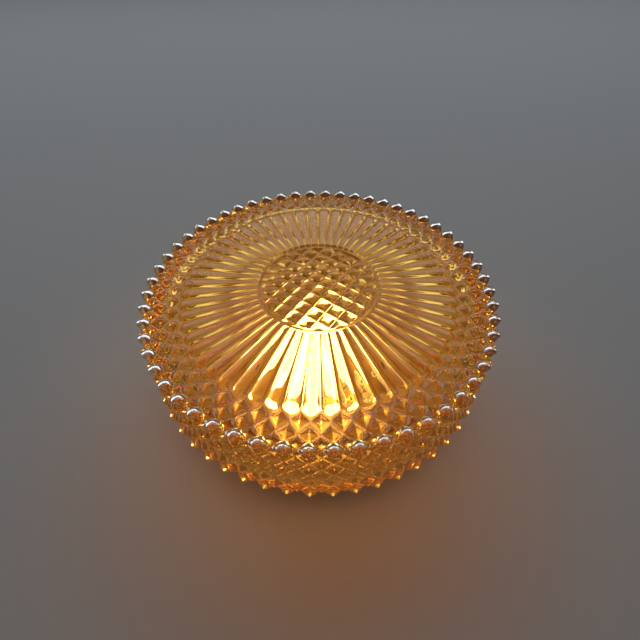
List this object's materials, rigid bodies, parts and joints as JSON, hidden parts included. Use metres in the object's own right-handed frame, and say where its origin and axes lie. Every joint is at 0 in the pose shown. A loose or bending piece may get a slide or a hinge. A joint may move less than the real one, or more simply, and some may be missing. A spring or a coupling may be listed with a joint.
{
  "type": "flush ceiling light",
  "caption": "Round flush ceiling light: amber pressed-glass shade with lens, petals and studs on a sheet-steel plate held by thumbscrews, with a screw-cap lamp lying inside",
  "frame": {"origin": "centre of the ceiling plate's back face", "axes": "+Z from the ceiling into the room, towards the lens; X along the line of the two ceiling screw slots"},
  "size_m": [0.2546, 0.2546, 0.105],
  "materials": {
    "amber_glass": "pressed amber glass, fire polished",
    "gold_lacquer": "gold stoving lacquer on pressed steel",
    "grey_felt": "pressed wool felt",
    "brass": "turned brass",
    "black_rubber": "moulded rubber",
    "ivory_plastic": "moulded plastic",
    "zinc_steel": "zinc-plated steel",
    "brown_sleeve": "PVC lead sleeve",
    "blue_sleeve": "PVC lead sleeve",
    "earth_sleeve": "PVC lead sleeve, green and yellow",
    "tinned_copper": "tinned copper",
    "porcelain": "glazed white porcelain",
    "spring_bronze": "phosphor bronze",
    "lit_bulb": "frosted lamp glass, lit",
    "bulb_cap_brass": "rolled brass sheet",
    "black_glass": "black vitrite",
    "solder": "tin solder",
    "clear_glass": "clear lead glass",
    "nickel_wire": "nickel wire",
    "filament": "glowing tungsten",
    "knurled_brass": "knurled brass"
  },
  "bodies": {
    "base": {"ceiling_plate": "gold_lacquer", "plate_rim": "gold_lacquer", "shade_gasket": "grey_felt", "thumbscrew_bosses": "brass", "cable_grommet": "black_rubber", "terminal_block_body": "ivory_plastic", "terminal_tubes": "brass", "terminal_screws": "zinc_steel", "terminal_block_screw": "zinc_steel", "terminal_block_nut": "zinc_steel", "lead_live": "brown_sleeve", "lead_neutral": "blue_sleeve", "lead_earth": "earth_sleeve", "earth_lug": "tinned_copper", "earth_washer": "zinc_steel", "earth_screw": "brass", "earth_nut": "zinc_steel", "lampholder_bracket": "zinc_steel", "bracket_screws": "zinc_steel", "bracket_nuts": "zinc_steel", "lampholder_body": "porcelain", "lampholder_shell": "brass", "lampholder_centre_contact": "spring_bronze", "lampholder_screws": "zinc_steel", "lampholder_terminal_screws": "brass"},
    "shade": {"glass_shade": "amber_glass"},
    "lamp_contact": {"bulb_contact": "solder"},
    "lamp": {"bulb_envelope": "lit_bulb", "bulb_cap": "bulb_cap_brass", "bulb_insulator": "black_glass", "bulb_stem": "clear_glass", "bulb_lead_wires": "nickel_wire", "bulb_support_wires": "nickel_wire", "bulb_filament": "filament"},
    "screw_button_1": {"screw_tip_1": "black_rubber"},
    "thumbscrew_1": {"thumbscrew_1": "knurled_brass"},
    "screw_button_2": {"screw_tip_2": "black_rubber"},
    "thumbscrew_2": {"thumbscrew_2": "knurled_brass"},
    "screw_button_3": {"screw_tip_3": "black_rubber"},
    "thumbscrew_3": {"thumbscrew_3": "knurled_brass"}
  },
  "joints": [
    {"name": "shade_lift", "type": "slide", "parent": "base", "child": "shade", "axis": [0, 0, 1], "range_m": [0, 0.14]},
    {"name": "lamp_travel", "type": "slide", "parent": "base", "child": "lamp_contact", "axis": [-0.2588, -0.9659, 0], "range_m": [0, 0.0217]},
    {"name": "lamp_turn", "type": "hinge", "parent": "lamp_contact", "child": "lamp", "pos_m": [0, 0, 0.048], "axis": [-0.2588, -0.9659, 0], "range_deg": [0, 2160]},
    {"name": "thumbscrew_1_travel", "type": "slide", "parent": "base", "child": "screw_button_1", "axis": [0, 1, 0], "range_m": [0, 0.0028]},
    {"name": "thumbscrew_1_turn", "type": "hinge", "parent": "screw_button_1", "child": "thumbscrew_1", "pos_m": [0, 0.1, 0.0105], "axis": [0, 1, 0], "range_deg": [0, 1450]},
    {"name": "thumbscrew_2_travel", "type": "slide", "parent": "base", "child": "screw_button_2", "axis": [-0.866, -0.5, 0], "range_m": [0, 0.0028]},
    {"name": "thumbscrew_2_turn", "type": "hinge", "parent": "screw_button_2", "child": "thumbscrew_2", "pos_m": [-0.0866, -0.05, 0.0105], "axis": [-0.866, -0.5, 0], "range_deg": [0, 1450]},
    {"name": "thumbscrew_3_travel", "type": "slide", "parent": "base", "child": "screw_button_3", "axis": [0.866, -0.5, 0], "range_m": [0, 0.0028]},
    {"name": "thumbscrew_3_turn", "type": "hinge", "parent": "screw_button_3", "child": "thumbscrew_3", "pos_m": [0.0866, -0.05, 0.0105], "axis": [0.866, -0.5, 0], "range_deg": [0, 1450]}
  ],
  "couplings": [
    {"joint": "lamp_turn", "follows": "lamp_travel", "rad_per_m": 1731.4},
    {"joint": "thumbscrew_1_turn", "follows": "thumbscrew_1_travel", "rad_per_m": 8976},
    {"joint": "thumbscrew_2_turn", "follows": "thumbscrew_2_travel", "rad_per_m": 8976},
    {"joint": "thumbscrew_3_turn", "follows": "thumbscrew_3_travel", "rad_per_m": 8976}
  ]
}
